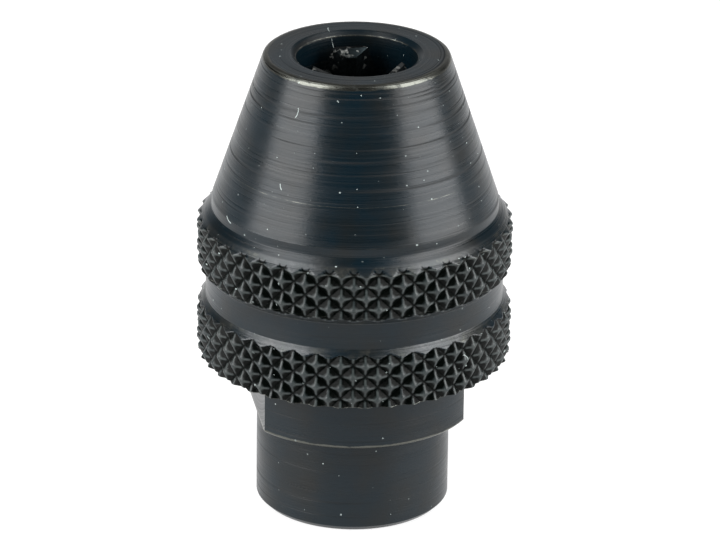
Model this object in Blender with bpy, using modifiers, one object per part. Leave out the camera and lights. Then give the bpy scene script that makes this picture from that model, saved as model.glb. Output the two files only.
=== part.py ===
"""Keyless jaw chuck of a small rotary tool, jaws open, standing on the end of its neck.

The nose sleeve screws down over the hub. Its inner taper then pushes three jaws in towards the
axis, while they stand on the hub's thrust washer. +Z runs from the neck to the nose, the origin
is the middle of the neck's end face, and the two wrench flats face -X and +X. Units are metres.
"""

from math import cos, pi, radians, sin, tan

import bmesh
import bpy
from mathutils import Matrix, Vector

# Nose sleeve, outside.
LENGTH = 0.0241
SLEEVE_BOTTOM = 0.00822
KNURL_R = 0.0080
KNURL_LOWER = (SLEEVE_BOTTOM, 0.01077)
KNURL_UPPER = (0.01309, 0.0153)
KNURL_BEVEL = 0.00015
GROOVE_R = 0.00754
GROOVE = (0.01126, 0.01263)
SHOULDER_R = 0.00754
SHOULDER_Z = 0.01572
STEP_R = 0.00725
STEP_Z = 0.01605
CONE_BASE_R = 0.00722
CONE_BASE_Z = 0.0165
NOSE_R = 0.0047
NOSE_EDGE = 0.00012

# Nose sleeve, inside.
MOUTH_R = 0.00305
MOUTH_CHAMFER = 0.0002
TAPER_ANGLE = radians(22)
TAPER_TOP = 0.0229
TAPER_BOTTOM = 0.0159
THREAD_BORE_R = 0.00685
RING_GROOVE_R = 0.00735
RING_GROOVE = (0.00875, 0.00955)

# Closing motion: turns of the sleeve's thread, which has a pitch of 1 mm.
SCREW_PITCH = 0.001
CLOSING_TURNS = 3.6
AXIAL_TRAVEL = SCREW_PITCH * CLOSING_TURNS
RADIAL_TRAVEL = AXIAL_TRAVEL * tan(TAPER_ANGLE)

# Hub.
NECK_R = 0.00492
NECK_CHAMFER = 0.00017
COLLAR_R = 0.00623
COLLAR_BOTTOM = 0.00522
COLLAR_CHAMFER = 0.00012
HALF_ACROSS_FLATS = 0.0051
FLATS_TOP = 0.0080
FLANGE_R = 0.0066
FLANGE = (0.0097, 0.0120)
FLANGE_CHAMFER = 0.0003
BOSS_R = 0.0044
BOSS_TOP = 0.0140
SOCKET_R = 0.0036
SOCKET_DEPTH = 0.0090
SOCKET_LEAD = 0.0003
DRILL_POINT = radians(31)
SHANK_HOLE_R = 0.00175
SHANK_HOLE_LEAD = 0.00025

# Retaining ring and thrust washer.
RING_R = (0.00635, 0.00715)
RING_Z = (0.0089, 0.0094)
RING_GAP = 0.0026
WASHER_R = (0.0021, 0.0044)
WASHER_Z = (0.0143, 0.0149)

# Jaws, drawn closed and then moved out by RADIAL_TRAVEL.
JAW_ANGLES = (90, 210, 330)
JAW_BOTTOM = 0.0152
JAW_TOP = 0.0236
JAW_GRIP_X = 0.0002
JAW_SIDE_GAP = 0.00006
JAW_BACK_GAP = 0.00025
JAW_LEAD = 0.0004

# Springs that hold the jaws apart, each in two pockets.
SPRING_Z = 0.0163
SPRING_DISTANCE = 0.0027
POCKET_R = 0.00075
POCKET_DEPTH = 0.0010
SPRING_END_GAP = 0.00015
SPRING_COIL_R = 0.0005
SPRING_WIRE_R = 0.00011
SPRING_TURNS = 5
SPRING_POINTS_PER_TURN = 10

SLEEVE_SEGMENTS = 64
HUB_SEGMENTS = 48
POCKET_SEGMENTS = 16
SMOOTH_ANGLE = radians(30)
MERGE = 0.00001


def clear_scene():
    for item in list(bpy.data.objects):
        bpy.data.objects.remove(item, do_unlink=True)


def new_collection(name):
    collection = bpy.data.collections.new(name)
    bpy.context.scene.collection.children.link(collection)
    return collection


def steel(name, colour, roughness):
    material = bpy.data.materials.new(name)
    material.use_nodes = True
    shader = material.node_tree.nodes["Principled BSDF"]
    shader.inputs["Base Color"].default_value = (*colour, 1)
    shader.inputs["Metallic"].default_value = 1
    shader.inputs["Roughness"].default_value = roughness
    return material


def add_object(name, mesh, collection, material=None):
    item = bpy.data.objects.new(name, mesh)
    collection.objects.link(item)
    if material:
        mesh.materials.append(material)
        mesh.shade_smooth()
        mesh.set_sharp_from_angle(angle=SMOOTH_ANGLE)
    return item


def add_cutter(name, bm):
    """A hidden solid that a Boolean takes away."""
    mesh = bpy.data.meshes.new(name)
    bmesh.ops.recalc_face_normals(bm, faces=bm.faces)
    bm.to_mesh(mesh)
    bm.free()
    item = add_object(name, mesh, cutters)
    item.hide_render = True
    item.display_type = "WIRE"
    return item


def cut(item, cutter):
    modifier = item.modifiers.new(cutter.name, "BOOLEAN")
    modifier.operation = "DIFFERENCE"
    modifier.object = cutter


def turned(name, profile, segments, material):
    """A ring-shaped solid: a closed (radius, height) profile turned about Z."""
    bm = bmesh.new()
    points = [bm.verts.new((radius, 0, height)) for radius, height in profile]
    for start, end in zip(points, points[1:] + points[:1]):
        bm.edges.new((start, end))
    mesh = bpy.data.meshes.new(name)
    bm.to_mesh(mesh)
    bm.free()
    item = add_object(name, mesh, parts, material)
    screw = item.modifiers.new("turn", "SCREW")
    screw.steps = segments
    screw.render_steps = segments
    screw.use_merge_vertices = True
    screw.merge_threshold = MERGE
    screw.use_smooth_shade = True
    return item


def taper_r(height):
    """Radius of the sleeve's inner taper at a height, with the sleeve up."""
    return MOUTH_R + (TAPER_TOP - height) * tan(TAPER_ANGLE)


def make_sleeve():
    profile = [
        (MOUTH_R + MOUTH_CHAMFER, LENGTH),
        (NOSE_R - NOSE_EDGE, LENGTH),
        (NOSE_R, LENGTH - NOSE_EDGE),
        (CONE_BASE_R, CONE_BASE_Z),
        (STEP_R, STEP_Z),
        (SHOULDER_R, SHOULDER_Z),
        (KNURL_R, KNURL_UPPER[1]),
        (KNURL_R, KNURL_UPPER[0]),
        (GROOVE_R, GROOVE[1]),
        (GROOVE_R, GROOVE[0]),
        (KNURL_R, KNURL_LOWER[1]),
        (KNURL_R, SLEEVE_BOTTOM + KNURL_BEVEL),
        (KNURL_R - KNURL_BEVEL, SLEEVE_BOTTOM),
        (THREAD_BORE_R, SLEEVE_BOTTOM),
        (THREAD_BORE_R, RING_GROOVE[0]),
        (RING_GROOVE_R, RING_GROOVE[0]),
        (RING_GROOVE_R, RING_GROOVE[1]),
        (THREAD_BORE_R, RING_GROOVE[1]),
        (THREAD_BORE_R, TAPER_BOTTOM),
        (taper_r(TAPER_BOTTOM), TAPER_BOTTOM),
        (MOUTH_R, TAPER_TOP),
        (MOUTH_R, LENGTH - MOUTH_CHAMFER),
    ]
    turned("nose_sleeve", profile, SLEEVE_SEGMENTS, steel("sleeve_black_oxide", (0.03, 0.04, 0.046), 0.38))


def make_hub():
    point_height = (SOCKET_R - SHANK_HOLE_R) * tan(DRILL_POINT)
    profile = [
        (SHANK_HOLE_R + SHANK_HOLE_LEAD, BOSS_TOP),
        (BOSS_R, BOSS_TOP),
        (BOSS_R, FLANGE[1]),
        (FLANGE_R - FLANGE_CHAMFER, FLANGE[1]),
        (FLANGE_R, FLANGE[1] - FLANGE_CHAMFER),
        (FLANGE_R, FLANGE[0]),
        (COLLAR_R, FLANGE[0]),
        (COLLAR_R, COLLAR_BOTTOM + COLLAR_CHAMFER),
        (COLLAR_R - COLLAR_CHAMFER, COLLAR_BOTTOM),
        (NECK_R, COLLAR_BOTTOM),
        (NECK_R, NECK_CHAMFER),
        (NECK_R - NECK_CHAMFER, 0),
        (SOCKET_R + SOCKET_LEAD, 0),
        (SOCKET_R, SOCKET_LEAD),
        (SOCKET_R, SOCKET_DEPTH),
        (SHANK_HOLE_R, SOCKET_DEPTH + point_height),
        (SHANK_HOLE_R, BOSS_TOP - SHANK_HOLE_LEAD),
    ]
    hub = turned("hub", profile, HUB_SEGMENTS, steel("hub_black_oxide", (0.025, 0.034, 0.038), 0.42))
    depth = COLLAR_R
    height = FLATS_TOP - COLLAR_BOTTOM + COLLAR_CHAMFER
    for side in (-1, 1):
        place = Matrix.Translation((side * (HALF_ACROSS_FLATS + depth / 2), 0, FLATS_TOP - height / 2))
        bm = bmesh.new()
        bmesh.ops.create_cube(bm, size=1, matrix=place @ Matrix.Diagonal((depth, 4 * COLLAR_R, height, 1)))
        cut(hub, add_cutter(f"flat_cutter_{side:+d}", bm))


def plain_ring(name, radii, heights, colour, roughness):
    inner, outer = radii
    bottom, top = heights
    profile = [(inner, top), (outer, top), (outer, bottom), (inner, bottom)]
    return turned(name, profile, HUB_SEGMENTS, steel(f"{name}_steel", colour, roughness))


def make_rings():
    ring = plain_ring("retaining_ring", RING_R, RING_Z, (0.35, 0.35, 0.36), 0.35)
    plain_ring("thrust_washer", WASHER_R, WASHER_Z, (0.4, 0.4, 0.4), 0.3)
    bm = bmesh.new()
    place = Matrix.Translation((0, RING_R[1], RING_Z[0]))
    size = (RING_GAP, RING_R[0], 4 * (RING_Z[1] - RING_Z[0]), 1)
    bmesh.ops.create_cube(bm, size=1, matrix=place @ Matrix.Diagonal(size))
    cut(ring, add_cutter("ring_gap_cutter", bm))


def slice_off(bm, point, normal):
    """Cuts the solid with a plane and closes it again, dropping the side the normal points to."""
    geometry = bm.verts[:] + bm.edges[:] + bm.faces[:]
    made = bmesh.ops.bisect_plane(bm, geom=geometry, plane_co=point, plane_no=normal, clear_outer=True)
    rim = [part for part in made["geom_cut"] if isinstance(part, bmesh.types.BMEdge)]
    bmesh.ops.edgeloop_fill(bm, edges=rim)


def jaw_back_r(height):
    """Radius of a jaw's back about the chuck's axis when the jaws are closed."""
    return taper_r(height + AXIAL_TRAVEL) - JAW_BACK_GAP


def side_normal(side):
    """Outward normal of a closed jaw's side face, on the jaw that points to +X."""
    return Vector((-sin(pi / 3), side * cos(pi / 3), 0))


def pocket_centre(side):
    along = Vector((cos(pi / 3), side * sin(pi / 3), 0))
    return along * SPRING_DISTANCE - side_normal(side) * JAW_SIDE_GAP + Vector((0, 0, SPRING_Z))


def jaw_mesh():
    """A third of a cone, its edges cut for the grip, drawn closed and pointing to +X."""
    bm = bmesh.new()
    height = JAW_TOP - JAW_BOTTOM
    bmesh.ops.create_cone(
        bm,
        cap_ends=True,
        segments=HUB_SEGMENTS,
        radius1=jaw_back_r(JAW_BOTTOM),
        radius2=jaw_back_r(JAW_TOP),
        depth=height,
        matrix=Matrix.Translation((0, 0, JAW_BOTTOM + height / 2)),
    )
    for side in (-1, 1):
        normal = side_normal(side)
        slice_off(bm, -normal * JAW_SIDE_GAP, normal)
    slice_off(bm, (JAW_GRIP_X, 0, 0), (-1, 0, 0))
    slice_off(bm, (JAW_GRIP_X + JAW_LEAD, 0, JAW_TOP), (-1, 0, 1))
    slice_off(bm, (jaw_back_r(JAW_TOP), 0, JAW_TOP - JAW_LEAD / 2), (1, 0, 1))
    bmesh.ops.recalc_face_normals(bm, faces=bm.faces)
    mesh = bpy.data.meshes.new("jaw")
    bm.to_mesh(mesh)
    bm.free()
    return mesh


def pocket_cutter(name, side):
    bm = bmesh.new()
    normal = side_normal(side)
    turn = normal.to_track_quat("Z", "Y").to_matrix().to_4x4()
    bmesh.ops.create_cone(
        bm,
        cap_ends=True,
        segments=POCKET_SEGMENTS,
        radius1=POCKET_R,
        radius2=POCKET_R,
        depth=2 * POCKET_DEPTH,
        matrix=Matrix.Translation(pocket_centre(side)) @ turn,
    )
    return add_cutter(name, bm)


def make_jaws():
    material = steel("jaw_hardened_steel", (0.12, 0.11, 0.1), 0.3)
    for number, angle in enumerate(JAW_ANGLES, 1):
        axis = bpy.data.objects.new(f"jaw_axis_{number}", None)
        parts.objects.link(axis)
        axis.rotation_euler.z = radians(angle)
        jaw = add_object(f"jaw_{number}", jaw_mesh(), parts, material)
        jaw.parent = axis
        jaw.location.x = RADIAL_TRAVEL
        for side, word in ((-1, "right"), (1, "left")):
            cutter = pocket_cutter(f"pocket_{number}_{word}", side)
            cutter.parent = jaw
            cut(jaw, cutter)


def make_springs():
    """One spring on the far side of each jaw, reaching into the next jaw's pocket."""
    material = steel("spring_steel", (0.5, 0.5, 0.5), 0.25)
    face_gap = 2 * (JAW_SIDE_GAP + RADIAL_TRAVEL * sin(pi / 3))
    length = face_gap + 2 * (POCKET_DEPTH - SPRING_END_GAP) - 2 * SPRING_WIRE_R
    distance = SPRING_DISTANCE + RADIAL_TRAVEL * cos(pi / 3)
    count = SPRING_TURNS * SPRING_POINTS_PER_TURN
    for number, angle in enumerate(JAW_ANGLES, 1):
        curve = bpy.data.curves.new(f"jaw_spring_{number}", "CURVE")
        curve.dimensions = "3D"
        curve.bevel_depth = SPRING_WIRE_R
        curve.bevel_resolution = 1
        curve.use_fill_caps = True
        wire = curve.splines.new("POLY")
        wire.points.add(count)
        for step in range(count + 1):
            turn = 2 * pi * step / SPRING_POINTS_PER_TURN
            along = length * (step / count - 0.5)
            wire.points[step].co = (SPRING_COIL_R * cos(turn), along, SPRING_COIL_R * sin(turn), 1)
        curve.materials.append(material)
        spring = bpy.data.objects.new(curve.name, curve)
        parts.objects.link(spring)
        facing = radians(angle) + pi / 3
        spring.location = (distance * cos(facing), distance * sin(facing), SPRING_Z)
        spring.rotation_euler.z = facing


clear_scene()
parts = new_collection("rotary_tool_chuck")
cutters = new_collection("cutters")
make_hub()
make_sleeve()
make_rings()
make_jaws()
make_springs()
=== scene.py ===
"""Looks of a keyless jaw chuck for a small rotary tool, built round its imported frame.

Outlines are in millimetres and become metres as their pieces are turned.
"""

from math import atan2, ceil, cos, floor, hypot, pi, radians, sin, tan

import bmesh
import bpy
from mathutils import Matrix, Vector, noise


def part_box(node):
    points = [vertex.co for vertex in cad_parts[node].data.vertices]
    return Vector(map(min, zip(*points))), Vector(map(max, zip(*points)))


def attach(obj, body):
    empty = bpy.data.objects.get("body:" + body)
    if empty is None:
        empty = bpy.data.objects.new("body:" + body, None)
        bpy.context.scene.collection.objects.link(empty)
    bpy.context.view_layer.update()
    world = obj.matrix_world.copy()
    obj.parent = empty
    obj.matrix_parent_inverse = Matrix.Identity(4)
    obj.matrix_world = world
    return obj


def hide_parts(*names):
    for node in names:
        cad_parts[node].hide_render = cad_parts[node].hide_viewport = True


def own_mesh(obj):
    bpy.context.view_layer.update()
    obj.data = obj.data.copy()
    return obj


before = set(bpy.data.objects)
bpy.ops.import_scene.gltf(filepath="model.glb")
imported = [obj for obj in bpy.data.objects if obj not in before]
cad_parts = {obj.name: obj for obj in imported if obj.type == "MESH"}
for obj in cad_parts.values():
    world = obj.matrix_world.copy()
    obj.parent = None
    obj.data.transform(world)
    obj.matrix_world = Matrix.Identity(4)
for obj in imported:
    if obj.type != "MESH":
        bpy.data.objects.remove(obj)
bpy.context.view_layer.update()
MM = 0.001

# ---------------------------------------------------------------------------------------------
# Hub: the turned body that screws on the tool's spindle. It is free-cutting steel with a neck, a
# collar milled flat on two sides for a spanner, a threaded flange that carries the sleeve, and a
# boss that the jaws stand on. Its black oxide coat is satin, with fine turning rings showing.

HUB_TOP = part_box("hub")[1].z / MM
FLANGE_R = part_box("hub")[1].x / MM
HALF_ACROSS_FLATS = 5.1
FLATS_TOP = 8.0
COLLAR_R = 6.23
COLLAR_BOTTOM = 5.22
NECK_R = 4.92
FLANGE_Z = (9.7, 12.0)
BOSS_R = 4.4
SOCKET_R = 3.6
SOCKET_DEPTH = 9.0
SHANK_HOLE_R = 1.75
DRILL_POINT = radians(31)
# Each thread's pitch, and how far its crests stand from the plain wall.
SOCKET_THREAD = (0.75, 0.4)
FLANGE_THREAD = (1.0, -0.45)
THREAD_ROWS = 8
THREAD_STEEPNESS = 1.35
THREAD_ROOT = 0.18
THREAD_RUN_OUT = 0.6
HUB_STEPS = 216
# A plain point this far from a rounded corner keeps the wear on the corner.
EDGE_GUARD = 0.12


def corner_arc(before, corner, after, steps):
    """Points of a rounded corner, with a plain point a little way off each end of it."""
    r, z, rounding, *worn = corner
    here = Vector((r, z))
    back = Vector(before[:2]) - here
    ahead = Vector(after[:2]) - here
    outer = back.x * ahead.y - back.y * ahead.x > 0
    rubbed = (worn or [1.0])[0] if outer else 0.0
    half = back.angle(ahead) / 2
    reach = min(rounding / tan(half), 0.45 * back.length, 0.45 * ahead.length)
    start = here + back.normalized() * reach
    end = here + ahead.normalized() * reach
    points = []
    for step in range(steps + 1):
        share = step / steps
        bend = start.lerp(here, share).lerp(here.lerp(end, share), share)
        points.append((bend.x, bend.y, rubbed))
    if back.length > reach + 2 * EDGE_GUARD:
        far = start + back.normalized() * EDGE_GUARD
        points.insert(0, (far.x, far.y, 0.0))
    if ahead.length > reach + 2 * EDGE_GUARD:
        far = end + ahead.normalized() * EDGE_GUARD
        points.append((far.x, far.y, 0.0))
    return points


def rounded(outline, steps=4):
    """The outline's corners (radius, height, rounding) as (radius, height, wear) points.

    An outer corner is worn fully, unless its fourth number says how far.
    """
    points = []
    for index, corner in enumerate(outline):
        before = outline[index - 1]
        after = outline[(index + 1) % len(outline)]
        if corner[2] > 0:
            points += corner_arc(before, corner, after, steps)
        else:
            points.append((corner[0], corner[1], 0.0))
    return points


def add_rows(points, spacing, low, high, start=0.0, least_r=0.0, most_r=99.0):
    """Extra points at even heights on the runs that lie between two heights and two radii."""
    out = []
    for here, after in zip(points, points[1:] + points[:1]):
        out.append(here)
        if min(here[0], after[0]) < least_r or max(here[0], after[0]) > most_r:
            continue
        bottom = max(low, min(here[1], after[1]))
        top = min(high, max(here[1], after[1]))
        first = ceil((bottom - start) / spacing + 0.02)
        last = floor((top - start) / spacing - 0.02)
        heights = [start + k * spacing for k in range(first, last + 1)]
        if after[1] < here[1]:
            heights.reverse()
        for z in heights:
            share = (z - here[1]) / (after[1] - here[1])
            wear = here[2] + share * (after[2] - here[2])
            out.append((here[0] + share * (after[0] - here[0]), z, wear))
    return out


def turned(points, steps):
    """A bmesh turned about Z from (radius, height, wear) points, wear kept on its vertices."""
    bm = bmesh.new()
    wear = bm.verts.layers.float.new("wear")
    ring = []
    for r, z, worn in points:
        vert = bm.verts.new((r * MM, 0, z * MM))
        vert[wear] = worn
        ring.append(vert)
    edges = [bm.edges.new(pair) for pair in zip(ring, ring[1:] + ring[:1])]
    bmesh.ops.spin(
        bm,
        geom=ring + edges,
        axis=(0, 0, 1),
        cent=(0, 0, 0),
        angle=2 * pi,
        steps=steps,
        use_merge=True,
    )
    bmesh.ops.remove_doubles(bm, verts=bm.verts, dist=1e-7)
    bmesh.ops.recalc_face_normals(bm, faces=bm.faces)
    return bm


def finished(bm, name, material, sharp=30):
    """The bmesh as an object at the origin, smooth but for its sharp edges."""
    mesh = bpy.data.meshes.new(name)
    bm.to_mesh(mesh)
    bm.free()
    mesh.shade_smooth()
    mesh.set_sharp_from_angle(angle=radians(sharp))
    mesh.materials.append(material)
    piece = bpy.data.objects.new(name, mesh)
    bpy.context.scene.collection.objects.link(piece)
    return piece


def cut_thread(bm, base_r, thread, low, high):
    """Moves the rows of a plain wall into a right-hand thread of that pitch and depth."""
    pitch, depth = thread
    for vert in bm.verts:
        r = hypot(vert.co.x, vert.co.y) / MM
        z = vert.co.z / MM
        if abs(r - base_r) > 0.02 or not low <= z <= high:
            continue
        turn = (z / pitch - atan2(vert.co.y, vert.co.x) / (2 * pi)) % 1
        fade = min(1, min(z - low, high - z) / (THREAD_RUN_OUT * pitch))
        form = min(1, max(0, THREAD_STEEPNESS * (1 - abs(2 * turn - 1)) - THREAD_ROOT))
        scale = (base_r + depth * form * fade) / r
        vert.co.x *= scale
        vert.co.y *= scale


def linear(code):
    """A colour from its sRGB hex value."""
    parts = [int(code[k : k + 2], 16) / 255 for k in (1, 3, 5)]
    return (*[c / 12.92 if c <= 0.04045 else ((c + 0.055) / 1.055) ** 2.4 for c in parts], 1)


def add(tree, kind, inputs=None, **settings):
    """One shader node with its settings, and its inputs set or linked."""
    made = tree.nodes.new(kind)
    for key, value in settings.items():
        setattr(made, key, value)
    for key, value in (inputs or {}).items():
        if isinstance(value, bpy.types.NodeSocket):
            tree.links.new(value, made.inputs[key])
        else:
            made.inputs[key].default_value = value
    return made


def black_oxide(name, dust):
    """Black oxide on turned steel: an oiled magnetite skin, so it shines like a dark dielectric.

    Cutting rings show through it and spread its highlights up and down. Blotches go from
    blue-black to brown-black, edges are rubbed back to bare steel, and dust and lint lie on it,
    with a speck in that share of its cells. On the knurl, painted shade darkens the flanks and
    grooves, and the crests and ridges are paler, from rubbed wear and a painted highlight.
    """
    material = bpy.data.materials.new(name)
    material.use_nodes = True
    tree = material.node_tree
    shader = tree.nodes["Principled BSDF"]
    place = add(tree, "ShaderNodeTexCoord").outputs["Object"]
    parts = add(tree, "ShaderNodeSeparateXYZ", {0: place}).outputs
    flat = add(tree, "ShaderNodeCombineXYZ", {0: parts[0], 1: parts[1]})
    radius = add(
        tree, "ShaderNodeVectorMath", {0: flat.outputs[0]}, operation="LENGTH"
    ).outputs["Value"]
    along = add(tree, "ShaderNodeMath", {0: parts[2], 1: radius}, operation="SUBTRACT").outputs[0]
    # Cutting rings, each kind with its spacing, how fast it changes round the piece and its
    # detail: fine ones 0.1 mm apart that run on for 11 mm, stray deep ones 0.25 mm apart that run
    # on for 50 mm, and the 5 mm long stretches where the deep ones last.
    ringed = []
    for spacing, drift_scale, detail in ((0.1, 90, 3.0), (0.25, 20, 2.0), (0.5, 200, 1.0)):
        drift = add(
            tree, "ShaderNodeVectorMath", {0: flat.outputs[0], "Scale": drift_scale}, operation="SCALE"
        )
        rise = add(tree, "ShaderNodeMath", {0: along, 1: 1 / (spacing * MM)}, operation="MULTIPLY")
        lift = add(tree, "ShaderNodeCombineXYZ", {2: rise.outputs[0]})
        spot = add(tree, "ShaderNodeVectorMath", {0: drift.outputs[0], 1: lift.outputs[0]})
        rings = add(
            tree,
            "ShaderNodeTexNoise",
            {"Vector": spot.outputs[0], "Scale": 1.0, "Detail": detail, "Roughness": 0.62},
        )
        ringed.append(rings.outputs["Fac"])
    near_nose = add(
        tree, "ShaderNodeMapRange", {0: parts[2], 1: 18.0 * MM, 2: 21.0 * MM, 3: 0.45, 4: 1.0}
    )
    stray = add(tree, "ShaderNodeMapRange", {0: ringed[1], 1: 0.46, 2: 0.38, 3: 0.0, 4: 1.0})
    lasting = add(tree, "ShaderNodeMapRange", {0: ringed[2], 1: 0.4, 2: 0.6, 3: 0.0, 4: 1.0})
    patchy = add(
        tree, "ShaderNodeMath", {0: stray.outputs[0], 1: lasting.outputs[0]}, operation="MULTIPLY"
    )
    deep = add(
        tree, "ShaderNodeMath", {0: patchy.outputs[0], 1: near_nose.outputs[0]}, operation="MULTIPLY"
    ).outputs[0]
    # The etched grain is 0.2 mm across, the blotches 2.4 mm and the rubbed patches 0.7 mm.
    grain = add(tree, "ShaderNodeTexNoise", {"Vector": place, "Scale": 5000.0, "Detail": 2.0})
    blotch = add(
        tree, "ShaderNodeTexNoise", {"Vector": place, "Scale": 420.0, "Detail": 4.0, "Roughness": 0.55}
    )
    skin = add(tree, "ShaderNodeValToRGB", {0: blotch.outputs["Fac"]})
    skin.color_ramp.elements[0].position = 0.42
    skin.color_ramp.elements[0].color = linear("#031118")
    skin.color_ramp.elements[1].position = 0.72
    skin.color_ramp.elements[1].color = linear("#0d1010")
    shaded = add(
        tree,
        "ShaderNodeMix",
        {0: deep, 6: skin.outputs[0], 7: linear("#020608")},
        data_type="RGBA",
    )
    # Painted shade: the knurl's flanks and grooves are darkened nearly to black and their shine
    # dimmed. Below 0, the attribute is burnishing, which the knurling wheels left on the chamfers.
    shade_and_burnish = add(tree, "ShaderNodeAttribute", attribute_name="shade_and_burnish").outputs["Fac"]
    painted_flank_shade = add(
        tree,
        "ShaderNodeMix",
        {0: shade_and_burnish, 6: shaded.outputs[2], 7: linear("#020403")},
        data_type="RGBA",
    )
    gloss = add(tree, "ShaderNodeMapRange", {0: shade_and_burnish, 1: -1.0, 2: 1.0, 3: 0.91, 4: 0.09})
    # The knurl's crests and ridges are painted pale, unevenly: rubbed wear and a painted highlight.
    pale = add(tree, "ShaderNodeAttribute", attribute_name="pale").outputs["Fac"]
    patch = add(
        tree, "ShaderNodeTexNoise", {"Vector": place, "Scale": 1500.0, "Detail": 4.0, "Roughness": 0.7}
    )
    uneven = add(
        tree, "ShaderNodeMapRange", {0: patch.outputs["Fac"], 1: 0.35, 2: 0.65, 3: 0.45, 4: 1.3}
    )
    paled = add(tree, "ShaderNodeMath", {0: pale, 1: uneven.outputs[0]}, operation="MULTIPLY")
    with_pale_crests = add(
        tree,
        "ShaderNodeMix",
        {0: paled.outputs[0], 6: painted_flank_shade.outputs[2], 7: linear("#3c4140")},
        data_type="RGBA",
    )
    # Bare steel where hands and tools have rubbed the edges.
    worn = add(tree, "ShaderNodeAttribute", attribute_name="wear")
    rubbed = add(
        tree,
        "ShaderNodeMath",
        {0: worn.outputs["Fac"], 1: patch.outputs["Fac"]},
        operation="MULTIPLY",
    )
    # One faint ring stands out on the taper, 18.4 mm up, where the tool was brought in again.
    scribe = add(
        tree, "ShaderNodeMath", {0: along, 1: 11.86 * MM, 2: 0.015 * MM}, operation="COMPARE"
    )
    broken = add(
        tree,
        "ShaderNodeMath",
        {0: scribe.outputs[0], 1: patch.outputs["Fac"]},
        operation="MULTIPLY",
    )
    marks = add(
        tree,
        "ShaderNodeMath",
        {0: broken.outputs[0], 1: 0.95, 2: rubbed.outputs[0]},
        operation="MULTIPLY_ADD",
    )
    bare = add(tree, "ShaderNodeMapRange", {0: marks.outputs[0], 1: 0.3, 2: 0.6, 3: 0.0, 4: 1.0})
    tinted = add(
        tree, "ShaderNodeMath", {0: bare.outputs[0], 1: bare.outputs[0]}, operation="MULTIPLY"
    )
    steel = add(
        tree,
        "ShaderNodeMix",
        {0: tinted.outputs[0], 6: with_pale_crests.outputs[2], 7: linear("#5a5b56")},
        data_type="RGBA",
    )
    # Dust and lint are placed on the surface unrolled at a radius of 6.5 mm, in millimetres.
    turn = add(tree, "ShaderNodeMath", {0: parts[1], 1: parts[0]}, operation="ARCTAN2")
    unrolled = add(tree, "ShaderNodeMath", {0: turn.outputs[0], 1: 6.5}, operation="MULTIPLY")
    height = add(tree, "ShaderNodeMath", {0: along, 1: 1 / MM}, operation="MULTIPLY")
    sheet = add(tree, "ShaderNodeCombineXYZ", {0: unrolled.outputs[0], 1: height.outputs[0]}).outputs[0]
    # Specks up to 0.1 mm across, in some of the cells of a 1.2 mm mesh.
    cells = add(
        tree, "ShaderNodeTexVoronoi", {"Vector": sheet, "Scale": 1 / 1.2}, voronoi_dimensions="2D"
    )
    chance = add(tree, "ShaderNodeSeparateXYZ", {0: cells.outputs["Color"]})
    size = add(
        tree, "ShaderNodeMapRange", {0: chance.outputs[0], 1: 1 - dust, 2: 1.0, 3: 0.0, 4: 0.045}
    )
    speck = add(
        tree,
        "ShaderNodeMath",
        {0: cells.outputs["Distance"], 1: size.outputs[0]},
        operation="LESS_THAN",
    )
    # Lint: bent fibres up to 0.8 mm long, drawn 0.05 mm thick so that they show, in 3 mm cells.
    tufts = add(
        tree, "ShaderNodeTexVoronoi", {"Vector": sheet, "Scale": 1 / 3}, voronoi_dimensions="2D"
    )
    luck = add(tree, "ShaderNodeSeparateXYZ", {0: tufts.outputs["Color"]}).outputs
    local = add(
        tree, "ShaderNodeVectorMath", {0: sheet, 1: tufts.outputs["Position"]}, operation="SUBTRACT"
    )
    facing = add(tree, "ShaderNodeMath", {0: luck[1], 1: 2 * pi}, operation="MULTIPLY")
    turned_round = add(
        tree,
        "ShaderNodeVectorRotate",
        {"Vector": local.outputs[0], "Angle": facing.outputs[0]},
        rotation_type="Z_AXIS",
    )
    fibre = add(tree, "ShaderNodeSeparateXYZ", {0: turned_round.outputs[0]}).outputs
    bow = add(tree, "ShaderNodeMath", {0: fibre[0], 1: fibre[0]}, operation="MULTIPLY")
    off = add(
        tree, "ShaderNodeMath", {0: bow.outputs[0], 1: -0.7, 2: fibre[1]}, operation="MULTIPLY_ADD"
    )
    thick = add(tree, "ShaderNodeMath", {0: off.outputs[0], 1: 0.0, 2: 0.025}, operation="COMPARE")
    half_length = add(
        tree, "ShaderNodeMapRange", {0: luck[0], 1: 1 - dust / 3, 2: 1.0, 3: 0.0, 4: 0.4}
    )
    reach = add(tree, "ShaderNodeMath", {0: fibre[0]}, operation="ABSOLUTE")
    inside = add(
        tree, "ShaderNodeMath", {0: reach.outputs[0], 1: half_length.outputs[0]}, operation="LESS_THAN"
    )
    lint = add(
        tree, "ShaderNodeMath", {0: thick.outputs[0], 1: inside.outputs[0]}, operation="MULTIPLY"
    )
    faint = add(tree, "ShaderNodeMapRange", {0: chance.outputs[1], 1: 0.0, 2: 1.0, 3: 0.1, 4: 1.0})
    seen = add(
        tree, "ShaderNodeMath", {0: speck.outputs[0], 1: faint.outputs[0]}, operation="MULTIPLY"
    )
    dirt = add(tree, "ShaderNodeMath", {0: seen.outputs[0], 1: lint.outputs[0]}, operation="MAXIMUM")
    colour = add(
        tree,
        "ShaderNodeMix",
        {0: dirt.outputs[0], 6: steel.outputs[2], 7: linear("#97a19f")},
        data_type="RGBA",
    )
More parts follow.
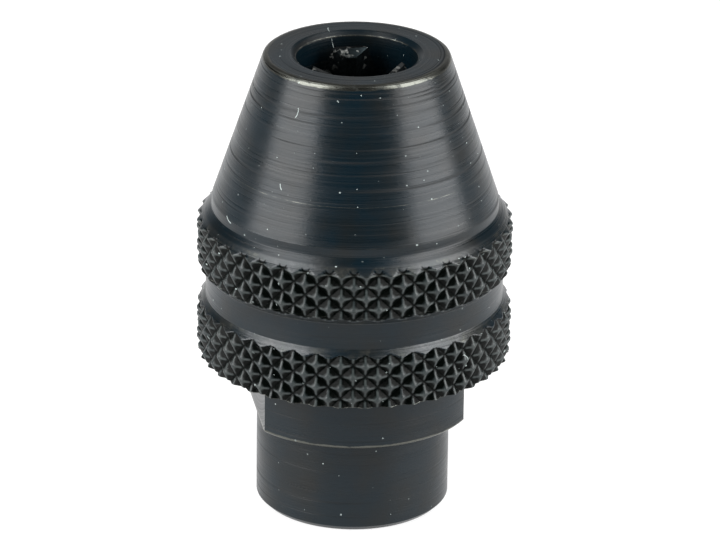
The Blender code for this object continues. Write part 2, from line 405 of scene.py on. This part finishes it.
    # Satin gloss, duller in the deep rings and under dirt.
    shine = add(tree, "ShaderNodeMapRange", {0: ringed[0], 1: 0.3, 2: 0.7, 3: 0.25, 4: 0.38})
    duller = add(tree, "ShaderNodeMath", {0: deep, 1: dirt.outputs[0]}, operation="ADD")
    roughness = add(
        tree,
        "ShaderNodeMath",
        {0: duller.outputs[0], 1: 0.3, 2: shine.outputs[0]},
        operation="MULTIPLY_ADD",
    )
    fine = add(
        tree,
        "ShaderNodeMath",
        {0: grain.outputs["Fac"], 1: 0.35, 2: ringed[0]},
        operation="MULTIPLY_ADD",
    )
    relief = add(
        tree, "ShaderNodeMath", {0: deep, 1: -0.9, 2: fine.outputs[0]}, operation="MULTIPLY_ADD"
    )
    bump = add(
        tree, "ShaderNodeBump", {"Strength": 0.55, "Distance": 0.02 * MM, "Height": relief.outputs[0]}
    )
    tangent = add(tree, "ShaderNodeTangent", direction_type="RADIAL", axis="Z")
    tree.links.new(colour.outputs[2], shader.inputs["Base Color"])
    tree.links.new(bare.outputs[0], shader.inputs["Metallic"])
    tree.links.new(roughness.outputs[0], shader.inputs["Roughness"])
    tree.links.new(gloss.outputs[0], shader.inputs["Specular IOR Level"])
    tree.links.new(bump.outputs[0], shader.inputs["Normal"])
    tree.links.new(tangent.outputs[0], shader.inputs["Tangent"])
    shader.inputs["IOR"].default_value = 1.36
    shader.inputs["Anisotropic"].default_value = 0.4
    shader.inputs["Anisotropic Rotation"].default_value = 0.25
    return material


point_height = (SOCKET_R - SHANK_HOLE_R) * tan(DRILL_POINT)
# Radius, height and rounding of each corner, down the outside from the boss and up the socket.
hub_outline = [
    (SHANK_HOLE_R + 0.25, HUB_TOP, 0.04),
    (BOSS_R, HUB_TOP, 0.1),
    (BOSS_R, FLANGE_Z[1], 0.15),
    (FLANGE_R - 0.3, FLANGE_Z[1], 0.03),
    (FLANGE_R, FLANGE_Z[1] - 0.3, 0.03),
    (FLANGE_R, FLANGE_Z[0], 0.05),
    (COLLAR_R, FLANGE_Z[0], 0.05),
    (COLLAR_R, FLATS_TOP, 0),
    (COLLAR_R, FLATS_TOP - 0.01, 0),
    (COLLAR_R, COLLAR_BOTTOM + 0.1, 0.05, 1.6),
    (COLLAR_R - 0.1, COLLAR_BOTTOM, 0.05, 1.6),
    (NECK_R, COLLAR_BOTTOM, 0.08),
    (NECK_R, 0.28, 0.06, 0.4),
    (NECK_R - 0.28, 0, 0.04, 0.4),
    (SOCKET_R + 0.3, 0, 0.04),
    (SOCKET_R, 0.3, 0.04),
    (SOCKET_R, SOCKET_DEPTH, 0.1),
    (SHANK_HOLE_R, SOCKET_DEPTH + point_height, 0.1),
    (SHANK_HOLE_R, HUB_TOP - 0.25, 0.04),
]
hub_points = rounded(hub_outline)
hub_points = add_rows(
    hub_points,
    SOCKET_THREAD[0] / THREAD_ROWS,
    0.3,
    SOCKET_DEPTH,
    least_r=SOCKET_R - 0.01,
    most_r=SOCKET_R + 0.01,
)
hub_points = add_rows(
    hub_points, FLANGE_THREAD[0] / THREAD_ROWS, *FLANGE_Z, least_r=FLANGE_R - 0.01
)
hub_bm = turned(hub_points, HUB_STEPS)
cut_thread(hub_bm, SOCKET_R, SOCKET_THREAD, 0.3, SOCKET_DEPTH - 0.4)
cut_thread(hub_bm, FLANGE_R, FLANGE_THREAD, FLANGE_Z[0] + 0.1, FLANGE_Z[1] - 0.35)
# The wrench flats: all that stands outside them is pressed back to their planes.
for vert in hub_bm.verts:
    if vert.co.z < (FLATS_TOP - 0.005) * MM and abs(vert.co.x) > HALF_ACROSS_FLATS * MM:
        vert.co.x = HALF_ACROSS_FLATS * MM * (1 if vert.co.x > 0 else -1)
hub_oxide = black_oxide("hub_black_oxide_steel", 0.3)
hub = finished(hub_bm, "hub_body_turned", hub_oxide)
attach(hub, "hub_body")
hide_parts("hub")

# ---------------------------------------------------------------------------------------------
# Nose sleeve: the part that the fingers turn. It is turned from steel bar with a long taper, and
# rolled between knurling wheels before the groove was cut, so that the pattern runs on from one
# band to the other. The mouth is chamfered, and the whole sleeve is black oxide.

sleeve_low, sleeve_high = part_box("nose_sleeve")
KNURL_R = sleeve_high.x / MM
SLEEVE_BOTTOM = sleeve_low.z / MM
NOSE_TOP = sleeve_high.z / MM
NOSE_R = 4.66
MOUTH_R = 3.05
TAPER_LOW = 15.9
TAPER_HIGH = 22.9
TAPER_SLOPE = tan(radians(22))
BORE_R = 6.85
RING_GROOVE_R = 7.35
RING_GROOVE_Z = (8.75, 9.55)
GRIP_GROOVE_R = 7.54
# The knurl: its diamonds round the sleeve, their height, where the lattice starts, the slope of
# the flanks, the width of the uncut crests, and how far the ridges are rounded over.
KNURLS_ROUND = 40
KNURL_RISE = 1.2096
KNURL_START = 0.195
KNURL_TURN = radians(-0.66)
KNURL_FLANK = tan(radians(35))
KNURL_LAND = 0.14
KNURL_BLEND = 0.09
KNURL_TOP = 15.75
CREST_UNEVENNESS = 0.02
# The width of the pale strip on the ridges, at least and at most, and the groove depth where painted
# shade starts.
PALE_RIDGE_STRIP = (0.02, 0.12)
SHADED_GROOVE_DEPTH = 0.16
CHAMFER_WEAR = 0.75
# An even number of mesh steps to a diamond puts a row of points on every groove.
KNURL_STEPS = 14

# Radius, height and rounding of each corner, down the outside from the mouth and up the bore.
sleeve_outline = [
    (MOUTH_R + 0.28, NOSE_TOP, 0.03, 0.6),
    (NOSE_R, NOSE_TOP, 0.28, 1.3),
    (7.22, 16.50, 0.04, 0.7),
    (7.25, 16.05, 0.06),
    (7.54, 15.73, 0.02, 0),
    (7.75, 15.48, 0.02, 0),
    (KNURL_R, 15.27, 0.03),
    (KNURL_R, 13.09, 0.03),
    (GRIP_GROOVE_R, 12.63, 0.08),
    (GRIP_GROOVE_R, 11.26, 0.06),
    (7.74, 11.02, 0.03),
    (KNURL_R, 10.74, 0.03),
    (KNURL_R, SLEEVE_BOTTOM + 0.08, 0.03),
    (KNURL_R - 0.08, SLEEVE_BOTTOM, 0.03),
    (BORE_R, SLEEVE_BOTTOM, 0.04),
    (BORE_R, RING_GROOVE_Z[0], 0),
    (RING_GROOVE_R, RING_GROOVE_Z[0], 0),
    (RING_GROOVE_R, RING_GROOVE_Z[1], 0),
    (BORE_R, RING_GROOVE_Z[1], 0),
    (BORE_R, TAPER_LOW, 0),
    (MOUTH_R + (TAPER_HIGH - TAPER_LOW) * TAPER_SLOPE, TAPER_LOW, 0),
    (MOUTH_R, TAPER_HIGH, 0),
    (MOUTH_R, NOSE_TOP - 0.2, 0.03),
]


def knurl_places(point):
    """Where a point is across the two families of grooves, counted in groove spacings."""
    round_share = (atan2(point.y, point.x) - KNURL_TURN) * KNURLS_ROUND / (2 * pi)
    rise_share = (point.z / MM - KNURL_START) / KNURL_RISE
    return round_share + rise_share, round_share - rise_share


def groove_depth(place, spacing):
    """Depth of a V groove, in millimetres, at a place between two lands."""
    off_centre = abs(place % 1 - 0.5) * spacing
    return max(0, (spacing - KNURL_LAND) / 2 - off_centre) * KNURL_FLANK


def rolled_depth(point, spacing):
    """Depth of the crossed grooves at a point, its painted shade there, and how pale it is.

    The ridges between two flanks are rounded over. They and the crests are painted pale, in a
    strip that narrows with depth: rubbed wear and a painted highlight. Painted shade darkens the
    flanks and the grooves.
    """
    low, high = sorted(groove_depth(place, spacing) for place in knurl_places(point))
    pale_strip = max(PALE_RIDGE_STRIP[0], PALE_RIDGE_STRIP[1] - 0.4 * high)
    on_flank = (high - low - 0.2 * pale_strip) / pale_strip
    in_groove = (high - SHADED_GROOVE_DEPTH) / 0.06
    shade_and_burnish = min(1, max(0, on_flank, in_groove))
    pale = (1 - shade_and_burnish) * min(1, 0.5 + 8 * high)
    blend = min(KNURL_BLEND, 2 * low)
    if high - low >= blend:
        return high, shade_and_burnish, pale
    return high + (blend - high + low) ** 2 / (4 * blend), shade_and_burnish, pale


def roll_knurl(bm):
    """Presses the two families of grooves into the grip bands and their chamfers.

    Faces are split along the groove that they lie in, so that its bottom is one sharp line.
    """
    knurl_pitch = 2 * pi * KNURL_R / KNURLS_ROUND
    spacing = 1 / hypot(1 / knurl_pitch, 1 / KNURL_RISE)
    wear = bm.verts.layers.float["wear"]
    shade_and_burnish = bm.verts.layers.float.new("shade_and_burnish")
    pale = bm.verts.layers.float.new("pale")
    for vert in bm.verts:
        r = hypot(vert.co.x, vert.co.y) / MM
        if r < GRIP_GROOVE_R + 0.001 or vert.co.z > KNURL_TOP * MM:
            continue
        depth, painted_flank_shade, paled = rolled_depth(vert.co, spacing)
        dip = CREST_UNEVENNESS * (noise.noise(vert.co * 1400) - 0.5)
        new_r = min(r, KNURL_R + min(0, dip) - depth)
        vert.co.x *= new_r / r
        vert.co.y *= new_r / r
        # Where a groove is pressed, the point takes its painted shade and its paleness, which is wear
        # with a painted highlight.
        if new_r < r:
            vert[shade_and_burnish] = painted_flank_shade
            vert[pale] = paled
        if r > KNURL_R - 0.01:
            vert[wear] = 0
        elif new_r == r:
            vert[shade_and_burnish] = -1
            vert[wear] = CHAMFER_WEAR
    for face in list(bm.faces):
        centre = face.calc_center_median()
        if hypot(centre.x, centre.y) < (GRIP_GROOVE_R + 0.001) * MM or centre.z > KNURL_TOP * MM:
            continue
        depths = [groove_depth(place, spacing) for place in knurl_places(centre)]
        family = 0 if depths[0] > depths[1] else 1
        corners = list(face.verts)
        steps = []
        for a, b in ((0, 2), (1, 3)):
            shift = knurl_places(corners[a].co)[family] - knurl_places(corners[b].co)[family]
            steps.append(abs((shift + KNURLS_ROUND / 2) % KNURLS_ROUND - KNURLS_ROUND / 2))
        a, b = (0, 2) if steps[0] < steps[1] else (1, 3)
        bmesh.utils.face_split(face, corners[a], corners[b])


sleeve_points = add_rows(
    rounded(sleeve_outline, steps=3),
    KNURL_RISE / KNURL_STEPS,
    SLEEVE_BOTTOM,
    KNURL_TOP,
    start=KNURL_START,
    least_r=GRIP_GROOVE_R - 0.001,
)
# The rows on the smooth wall of the grip groove carry nothing, and go again.
sleeve_points = [
    point
    for index, point in enumerate(sleeve_points)
    if not (
        max(abs(point[0] - GRIP_GROOVE_R), abs(sleeve_points[index - 1][0] - GRIP_GROOVE_R)) < 0.001
        and abs(sleeve_points[(index + 1) % len(sleeve_points)][0] - GRIP_GROOVE_R) < 0.001
    )
]
sleeve_bm = turned(sleeve_points, KNURLS_ROUND * KNURL_STEPS)
bmesh.ops.rotate(
    sleeve_bm,
    verts=sleeve_bm.verts,
    cent=(0, 0, 0),
    matrix=Matrix.Rotation(KNURL_TURN, 3, "Z"),
)
roll_knurl(sleeve_bm)
sleeve_oxide = black_oxide("sleeve_black_oxide_steel", 0.6)
sleeve = finished(sleeve_bm, "nose_sleeve_knurled", sleeve_oxide, sharp=50)
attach(sleeve, "sleeve_body")
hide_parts("nose_sleeve")

# ---------------------------------------------------------------------------------------------
# Retaining ring and thrust washer: the ring is bent from flat spring steel and snapped into the
# sleeve's bore, with a gap to close it by. The washer is hardened and ground, and the jaws slide
# on it.


def plain_steel(name, code, roughness, grain_scale, worn="#c4c6c2"):
    """Bare steel, ground or drawn: a grey metal whose gloss varies with fine grinding marks.

    It has darker smears 1.4 mm across, and rubbed edges are bright in spots 0.4 mm across.
    """
    material = bpy.data.materials.new(name)
    material.use_nodes = True
    tree = material.node_tree
    shader = tree.nodes["Principled BSDF"]
    place = add(tree, "ShaderNodeTexCoord").outputs["Object"]
    # The marks are 0.08 to 0.14 mm wide, drawn coarse so that they show, and 12 times as long.
    stretched = (grain_scale, grain_scale / 12, grain_scale)
    marks = add(tree, "ShaderNodeMapping", {"Vector": place, "Scale": stretched})
    grain = add(tree, "ShaderNodeTexNoise", {"Vector": marks.outputs[0], "Scale": 1.0, "Detail": 3.0})
    smear = add(tree, "ShaderNodeTexNoise", {"Vector": place, "Scale": 700.0, "Detail": 3.0})
    tone = add(tree, "ShaderNodeValToRGB", {0: smear.outputs["Fac"]})
    tone.color_ramp.elements[0].position = 0.3
    tone.color_ramp.elements[0].color = [0.45 * c for c in linear(code)[:3]] + [1]
    tone.color_ramp.elements[1].position = 0.7
    tone.color_ramp.elements[1].color = linear(code)
    gloss = add(
        tree,
        "ShaderNodeMapRange",
        {0: grain.outputs["Fac"], 1: 0.3, 2: 0.7, 3: roughness - 0.08, 4: roughness + 0.1},
    )
    bump = add(
        tree,
        "ShaderNodeBump",
        {"Strength": 0.2, "Distance": 0.01 * MM, "Height": grain.outputs["Fac"]},
    )
    rubbed = add(tree, "ShaderNodeAttribute", attribute_name="wear").outputs["Fac"]
    spots = add(tree, "ShaderNodeTexNoise", {"Vector": place, "Scale": 2500.0, "Detail": 3.0})
    spotted = add(
        tree, "ShaderNodeMapRange", {0: spots.outputs["Fac"], 1: 0.56, 2: 0.64, 3: 0.0, 4: 1.0}
    )
    bright = add(tree, "ShaderNodeMath", {0: rubbed, 1: spotted.outputs[0]}, operation="MULTIPLY")
    colour = add(
        tree,
        "ShaderNodeMix",
        {0: bright.outputs[0], 6: tone.outputs[0], 7: linear(worn)},
        data_type="RGBA",
    )
    tree.links.new(colour.outputs[2], shader.inputs["Base Color"])
    tree.links.new(gloss.outputs[0], shader.inputs["Roughness"])
    tree.links.new(bump.outputs[0], shader.inputs["Normal"])
    shader.inputs["Metallic"].default_value = 1
    return material


RING_R = (6.35, 7.15)
RING_Z = (8.9, 9.4)
RING_GAP = 2.6
RING_EDGE = 0.06
WASHER_R = (2.1, 4.4)
WASHER_Z = (14.3, 14.9)
WASHER_EDGE = 0.08
spring_steel = plain_steel("drawn_spring_steel", "#a9a9a6", 0.3, 9000)
ground_steel = plain_steel("ground_hardened_steel", "#8f8c86", 0.28, 12000)

ring_bm = bmesh.new()
gap_angle = RING_GAP / RING_R[1]
ring_corners = [
    (RING_R[0], RING_Z[0]),
    (RING_R[1], RING_Z[0]),
    (RING_R[1], RING_Z[1]),
    (RING_R[0], RING_Z[1]),
]
ring_end = ring_bm.faces.new([ring_bm.verts.new((r * MM, 0, z * MM)) for r, z in ring_corners])
bmesh.ops.spin(
    ring_bm,
    geom=[ring_end],
    axis=(0, 0, 1),
    cent=(0, 0, 0),
    angle=2 * pi - gap_angle,
    steps=120,
    use_merge=False,
)
bmesh.ops.rotate(
    ring_bm,
    verts=ring_bm.verts,
    cent=(0, 0, 0),
    matrix=Matrix.Rotation(pi / 2 + gap_angle / 2, 3, "Z"),
)
bmesh.ops.recalc_face_normals(ring_bm, faces=ring_bm.faces)
ring_edges = [edge for edge in ring_bm.edges if edge.calc_face_angle(0) > radians(60)]
bmesh.ops.bevel(
    ring_bm,
    geom=ring_edges,
    offset=RING_EDGE * MM,
    affect="EDGES",
    segments=2,
    profile=0.5,
    material=-1,
)
ring = finished(ring_bm, "retaining_ring_snap", spring_steel)
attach(ring, "ring_body")
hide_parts("retaining_ring")

washer_outline = [
    (WASHER_R[0], WASHER_Z[1], WASHER_EDGE),
    (WASHER_R[1], WASHER_Z[1], WASHER_EDGE),
    (WASHER_R[1], WASHER_Z[0], WASHER_EDGE),
    (WASHER_R[0], WASHER_Z[0], WASHER_EDGE),
]
washer = finished(turned(rounded(washer_outline), 128), "thrust_washer_ground", ground_steel)
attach(washer, "hub_body")
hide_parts("thrust_washer")

# ---------------------------------------------------------------------------------------------
# Jaws: three hardened segments of one cone, split and ground, with a narrow land that grips the
# shank and a lead-in at the top. Each side face has a drilled pocket for a spring.

JAW_TURNS = (90, 210, 330)
AXIAL_TRAVEL = 3.6
JAW_TRAVEL = AXIAL_TRAVEL * TAPER_SLOPE
JAW_LAND_X = 0.2
JAW_LEAD = 0.4
JAW_SIDE_GAP = 0.06
JAW_BACK_GAP = 0.25
JAW_EDGE = 0.07
JAW_BRIGHT_RIM = 0.08
POCKET_R = 0.75
POCKET_DEPTH = 1.0
SPRING_Z = 16.3
SPRING_DISTANCE = 2.7
jaw_low, jaw_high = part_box("jaw_1")
jaw_bottom = jaw_low.z / MM
jaw_top = jaw_high.z / MM


def jaw_back_r(z):
    """Radius of the closed jaws' cone at a height."""
    return MOUTH_R + (TAPER_HIGH - z - AXIAL_TRAVEL) * TAPER_SLOPE - JAW_BACK_GAP


def side_facing(side):
    """The way that one side of the jaw that points to +X faces."""
    return Vector((-sin(pi / 3), side * cos(pi / 3), 0))


def slice_off(bm, point, facing):
    """Cuts a closed shape with a plane, drops the side it faces, and closes it again."""
    made = bmesh.ops.bisect_plane(
        bm,
        geom=bm.verts[:] + bm.edges[:] + bm.faces[:],
        plane_co=Vector(point) * MM,
        plane_no=facing,
        clear_outer=True,
    )
    rim = [part for part in made["geom_cut"] if isinstance(part, bmesh.types.BMEdge)]
    bmesh.ops.edgeloop_fill(bm, edges=rim)


def jaw_blank():
    """The jaw that points to +X, closed, before its pockets are drilled."""
    bm = bmesh.new()
    tall = jaw_top - jaw_bottom
    bmesh.ops.create_cone(
        bm,
        cap_ends=True,
        segments=144,
        radius1=jaw_back_r(jaw_bottom) * MM,
        radius2=jaw_back_r(jaw_top) * MM,
        depth=tall * MM,
        matrix=Matrix.Translation((0, 0, (jaw_bottom + tall / 2) * MM)),
    )
    for side in (-1, 1):
        slice_off(bm, -side_facing(side) * JAW_SIDE_GAP, side_facing(side))
    slice_off(bm, (JAW_LAND_X, 0, 0), (-1, 0, 0))
    slice_off(bm, (JAW_LAND_X + JAW_LEAD, 0, jaw_top), (-1, 0, 1))
    slice_off(bm, (jaw_back_r(jaw_top), 0, jaw_top - JAW_LEAD / 2), (1, 0, 1))
    bmesh.ops.recalc_face_normals(bm, faces=bm.faces)
    corners = [edge for edge in bm.edges if edge.calc_face_angle(0) > radians(20)]
    bmesh.ops.bevel(
        bm,
        geom=corners,
        offset=JAW_EDGE * MM,
        affect="EDGES",
        segments=3,
        profile=0.5,
        material=-1,
        clamp_overlap=True,
    )
    return bm


def drill(side):
    """The solid that a spring's pocket takes out of a side face."""
    bm = bmesh.new()
    along = Vector((cos(pi / 3), side * sin(pi / 3), 0)) * SPRING_DISTANCE
    centre = along - side_facing(side) * JAW_SIDE_GAP + Vector((0, 0, SPRING_Z))
    turn = side_facing(side).to_track_quat("Z", "Y").to_matrix().to_4x4()
    bmesh.ops.create_cone(
        bm,
        cap_ends=True,
        segments=32,
        radius1=POCKET_R * MM,
        radius2=POCKET_R * MM,
        depth=2 * POCKET_DEPTH * MM,
        matrix=Matrix.Translation(centre * MM) @ turn,
    )
    return bm


def drilled(bm, drills, name):
    """The bmesh with other closed shapes cut out of it, as a new bmesh."""
    blank = bpy.data.objects.new(name, bpy.data.meshes.new(name))
    bm.to_mesh(blank.data)
    bm.free()
    bpy.context.scene.collection.objects.link(blank)
    helpers = [blank]
    for drill_bm in drills:
        helper = bpy.data.objects.new(name, bpy.data.meshes.new(name))
        drill_bm.to_mesh(helper.data)
        drill_bm.free()
        bpy.context.scene.collection.objects.link(helper)
        modifier = blank.modifiers.new("drill", "BOOLEAN")
        modifier.operation = "DIFFERENCE"
        modifier.object = helper
        helpers.append(helper)
    result = bmesh.new()
    result.from_object(blank, bpy.context.evaluated_depsgraph_get())
    for helper in helpers:
        bpy.data.objects.remove(helper, do_unlink=True)
    return result


# The jaw steel is nearly black, and bright in spots on the rims of the top faces.
jaw_steel = plain_steel("hardened_jaw_steel", "#23292b", 0.36, 7000, worn="#a6a8a4")
for number, turn in enumerate(JAW_TURNS, 1):
    jaw_bm = drilled(jaw_blank(), [drill(-1), drill(1)], f"jaw_blank_{number}")
    place = Matrix.Rotation(radians(turn), 4, "Z") @ Matrix.Translation((JAW_TRAVEL * MM, 0, 0))
    wear = jaw_bm.verts.layers.float.new("wear")
    for vert in jaw_bm.verts:
        vert[wear] = 1.0 if vert.co.z > (jaw_top - JAW_BRIGHT_RIM) * MM else 0.0
    bmesh.ops.transform(jaw_bm, matrix=place, verts=jaw_bm.verts)
    jaw = finished(jaw_bm, f"jaw_{number}_ground", jaw_steel)
    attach(jaw, f"jaw_{number}_body")
    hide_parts(f"jaw_{number}")

# ---------------------------------------------------------------------------------------------
# Jaw springs: coils of bright spring wire with their ends in two jaws' pockets. They push the
# jaws apart, and shorten as the sleeve closes them; each is wound here at its closed length and
# moves with one jaw.

SPRING_COIL_R = 0.5
SPRING_WIRE_R = 0.11
SPRING_TURNS = 5
SPRING_STEPS = 24
SPRING_END_PLAY = 0.3
face_gap = 2 * (JAW_SIDE_GAP + JAW_TRAVEL * sin(pi / 3))
pocket_span = face_gap + 2 * POCKET_DEPTH
spring_length = pocket_span - SPRING_END_PLAY - 2 * SPRING_WIRE_R
spring_distance = SPRING_DISTANCE + JAW_TRAVEL * cos(pi / 3)


def coiled_wire():
    """The spring's wire, wound about Y from one end to the other."""
    bm = bmesh.new()
    bmesh.ops.create_circle(
        bm,
        cap_ends=True,
        segments=10,
        radius=SPRING_WIRE_R * MM,
        matrix=Matrix.Translation(Vector((SPRING_COIL_R, -spring_length / 2, 0)) * MM),
    )
    steps = SPRING_TURNS * SPRING_STEPS
    bmesh.ops.spin(
        bm,
        geom=bm.faces[:],
        axis=(0, 1, 0),
        cent=(0, 0, 0),
        dvec=(0, spring_length / steps * MM, 0),
        angle=2 * pi * SPRING_TURNS,
        steps=steps,
        use_merge=False,
    )
    bmesh.ops.recalc_face_normals(bm, faces=bm.faces)
    return bm


for number, turn in enumerate(JAW_TURNS, 1):
    facing = radians(turn) + pi / 3
    centre = Vector((spring_distance * cos(facing), spring_distance * sin(facing), SPRING_Z)) * MM
    spring_bm = coiled_wire()
    place = Matrix.Translation(centre) @ Matrix.Rotation(facing, 4, "Z")
    bmesh.ops.transform(spring_bm, matrix=place, verts=spring_bm.verts)
    spring = finished(spring_bm, f"jaw_spring_{number}_coil", spring_steel)
    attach(spring, f"jaw_{number}_body")
    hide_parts(f"jaw_spring_{number}")
    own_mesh(spring)

# ---------------------------------------------------------------------------------------------
# Stage: a pale floor lit from below, a tall soft box on each side, a bright backdrop behind and
# a dark room in front. The soft boxes give the black steel two soft streaks with a dark stripe
# between them, and the lit floor takes away all but a trace of the shadow.

VIEW_TURN = radians(-9.66)
VIEW_RISE = radians(23.06)
VIEW_DISTANCE = 0.268
VIEW_ROLL = radians(0.692)
AIM_HEIGHT = 0.012
AIM_RIGHT = 0.000288
AIM_UP = -0.000032
LENS = 264.2
BOX_TURNS = {"left": radians(-65), "right": radians(73)}
BOX_DISTANCE = 0.30
BOX_SIZE = (0.27, 0.76)
BOX_HEIGHT = 0.37
BOX_POWER = 4.8
FLOOR_SIZE = 3.0
FLOOR_GREY = 0.3
FLOOR_GLOW = 0.75
ROOM_LIGHT = 0.031
BACKDROP_LIGHT = 0.55


def from_view(turn, rise, distance):
    """A point round the chuck, turned from the camera's side."""
    angle = VIEW_TURN + turn
    return Vector((sin(angle) * cos(rise), -cos(angle) * cos(rise), sin(rise))) * distance


camera_data = bpy.data.cameras.new("camera")
camera_data.lens = LENS
camera_data.clip_start = 0.01
camera = bpy.data.objects.new("camera", camera_data)
bpy.context.scene.collection.objects.link(camera)
back = from_view(0, VIEW_RISE, 1)
look = (-back).to_track_quat("-Z", "Y").to_matrix()
aim = Vector((0, 0, AIM_HEIGHT)) + look @ Vector((AIM_RIGHT, AIM_UP, 0))
camera.matrix_world = Matrix.Translation(aim + back * VIEW_DISTANCE) @ (
    look @ Matrix.Rotation(VIEW_ROLL, 3, "Z")
).to_4x4()
bpy.context.scene.camera = camera

floor_bm = bmesh.new()
bmesh.ops.create_grid(floor_bm, x_segments=1, y_segments=1, size=FLOOR_SIZE / 2)
floor_material = bpy.data.materials.new("pale_floor")
floor_material.use_nodes = True
floor_shader = floor_material.node_tree.nodes["Principled BSDF"]
floor_shader.inputs["Base Color"].default_value = (FLOOR_GREY, FLOOR_GREY, FLOOR_GREY, 1)
floor_shader.inputs["Emission Color"].default_value = (1, 1, 1, 1)
floor_shader.inputs["Emission Strength"].default_value = FLOOR_GLOW
floor_shader.inputs["Roughness"].default_value = 0.9
floor_shader.inputs["Specular IOR Level"].default_value = 0.1
floor_plane = finished(floor_bm, "floor", floor_material)

for word, turn in BOX_TURNS.items():
    lamp = bpy.data.lights.new(f"soft_box_{word}", "AREA")
    lamp.shape = "RECTANGLE"
    lamp.size, lamp.size_y = BOX_SIZE
    lamp.energy = BOX_POWER
    holder = bpy.data.objects.new(lamp.name, lamp)
    bpy.context.scene.collection.objects.link(holder)
    spot = from_view(turn, 0, BOX_DISTANCE) + Vector((0, 0, BOX_HEIGHT))
    towards = Vector((0, 0, BOX_HEIGHT)) - spot
    facing = towards.to_track_quat("-Z", "Y").to_matrix().to_4x4()
    holder.matrix_world = Matrix.Translation(spot) @ facing

world = bpy.data.worlds.new("studio")
bpy.context.scene.world = world
world.use_nodes = True
sky = world.node_tree
ray = add(sky, "ShaderNodeTexCoord").outputs["Generated"]
behind = add(
    sky, "ShaderNodeVectorMath", {0: ray, 1: tuple(-from_view(0, 0, 1))}, operation="DOT_PRODUCT"
)
glow = add(
    sky,
    "ShaderNodeMapRange",
    {0: behind.outputs["Value"], 1: 0.7, 2: 0.97, 3: ROOM_LIGHT, 4: BACKDROP_LIGHT},
)
sky.links.new(glow.outputs[0], sky.nodes["Background"].inputs["Strength"])
sky.nodes["Background"].inputs["Color"].default_value = (1, 1, 1, 1)
bpy.context.scene.view_settings.view_transform = "Standard"
